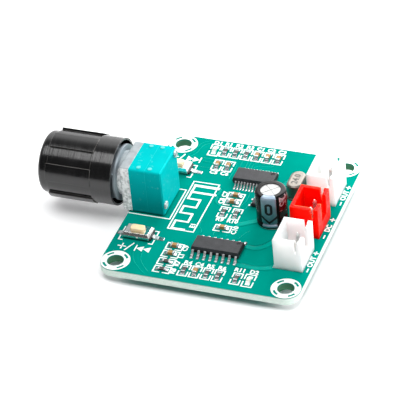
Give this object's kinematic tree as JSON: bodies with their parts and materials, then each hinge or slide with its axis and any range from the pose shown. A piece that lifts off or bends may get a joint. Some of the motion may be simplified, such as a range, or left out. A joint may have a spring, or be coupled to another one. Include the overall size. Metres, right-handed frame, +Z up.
{
  "type": "audio amplifier board",
  "caption": "Small teal stereo amplifier board with a black volume knob on a turquoise potentiometer, push buttons, keyed wire sockets, chips and corner mounting holes.",
  "frame": {"origin": "centre of the four mounting holes on the underside of the board", "axes": "+Z up from the board, along the mounting screws; +X from the knob towards the wire sockets; +Y towards the back row of chip parts"},
  "size_m": [0.0594, 0.045, 0.0165],
  "materials": {
    "board_laminate": "glass-epoxy laminate under a teal solder mask, satin",
    "solder": "reflowed tin solder, bright satin",
    "zinc_casting": "die-cast zinc alloy, matte grey",
    "green_moulding": "moulded thermoset, satin turquoise",
    "rivet_steel": "plated rivet, satin",
    "phenolic_wafer": "phenolic paper with a printed carbon track",
    "tinned_metal": "tin-plated strip, satin",
    "rotor_plastic": "moulded acetal, matte black",
    "spring_bronze": "phosphor bronze spring sheet",
    "turned_shaft": "turned aluminium, fine tool marks",
    "zinc_plated": "blue zinc-plated steel",
    "knob_plastic": "black moulded plastic with fine turned lines, satin",
    "white_nylon": "natural white moulded nylon, satin",
    "red_nylon": "red moulded nylon, satin",
    "can_aluminium": "drawn aluminium can, bright satin",
    "can_sleeve": "shrunk printed sleeve, glossy",
    "bung_rubber": "moulded rubber seal",
    "crystal_steel": "plated drawn can, soft satin",
    "chip_epoxy": "moulded epoxy, matte dark grey",
    "button_base": "moulded plastic, matte black",
    "button_frame": "stamped plated steel",
    "button_cap": "moulded plastic, cream",
    "resistor_body": "alumina chip under a dark glaze",
    "ceramic_body": "fired ceramic, tan",
    "lamp_base": "white laminate",
    "lamp_lens": "clear moulded resin over a pale chip"
  },
  "bodies": {
    "board": {"circuit_board": "board_laminate", "solder_joints": "solder", "pot_front_plate": "zinc_casting", "pot_front_section": "green_moulding", "pot_rear_section": "green_moulding", "pot_rivets": "rivet_steel", "pot_wafers": "phenolic_wafer", "pot_terminals": "tinned_metal", "bushing_washer": "zinc_plated", "bushing_nut": "zinc_plated", "front_socket_shell": "white_nylon", "front_socket_pins": "tinned_metal", "power_socket_shell": "red_nylon", "power_socket_pins": "tinned_metal", "back_socket_shell": "white_nylon", "back_socket_pins": "tinned_metal", "capacitor_can": "can_aluminium", "capacitor_sleeve": "can_sleeve", "capacitor_bung": "bung_rubber", "capacitor_leads": "tinned_metal", "crystal_can": "crystal_steel", "crystal_base": "crystal_steel", "crystal_leads": "tinned_metal", "amplifier_chip": "chip_epoxy", "amplifier_leads": "tinned_metal", "radio_chip": "chip_epoxy", "radio_leads": "tinned_metal", "regulator_chip": "chip_epoxy", "regulator_leads": "tinned_metal", "chip_resistors": "resistor_body", "chip_resistor_ends": "tinned_metal", "chip_capacitors": "ceramic_body", "chip_capacitor_ends": "tinned_metal", "lamp_bases": "lamp_base", "lamp_lenses": "lamp_lens", "lamp_ends": "tinned_metal", "front_button_base": "button_base", "front_button_frame": "button_frame", "front_button_dome": "spring_bronze", "front_button_leads": "tinned_metal", "back_button_base": "button_base", "back_button_frame": "button_frame", "back_button_dome": "spring_bronze", "back_button_leads": "tinned_metal"},
    "volume_control": {"volume_shaft": "turned_shaft", "pot_rotors": "rotor_plastic", "pot_wipers": "spring_bronze", "volume_knob": "knob_plastic"},
    "front_button": {"front_button_cap": "button_cap"},
    "back_button": {"back_button_cap": "button_cap"}
  },
  "joints": [
    {"name": "volume_turn", "type": "hinge", "parent": "board", "child": "volume_control", "pos_m": [-0.0226, 0.00025, 0.0077], "axis": [1, 0, 0], "range_deg": [-150, 150]},
    {"name": "front_button_press", "type": "slide", "parent": "board", "child": "front_button", "axis": [0, 0, -1], "range_m": [0, 0.00025], "stiffness_N_per_m": 4000, "deforming": ["front_button_dome"]},
    {"name": "back_button_press", "type": "slide", "parent": "board", "child": "back_button", "axis": [0, 0, -1], "range_m": [0, 0.00025], "stiffness_N_per_m": 4000, "deforming": ["back_button_dome"]}
  ]
}
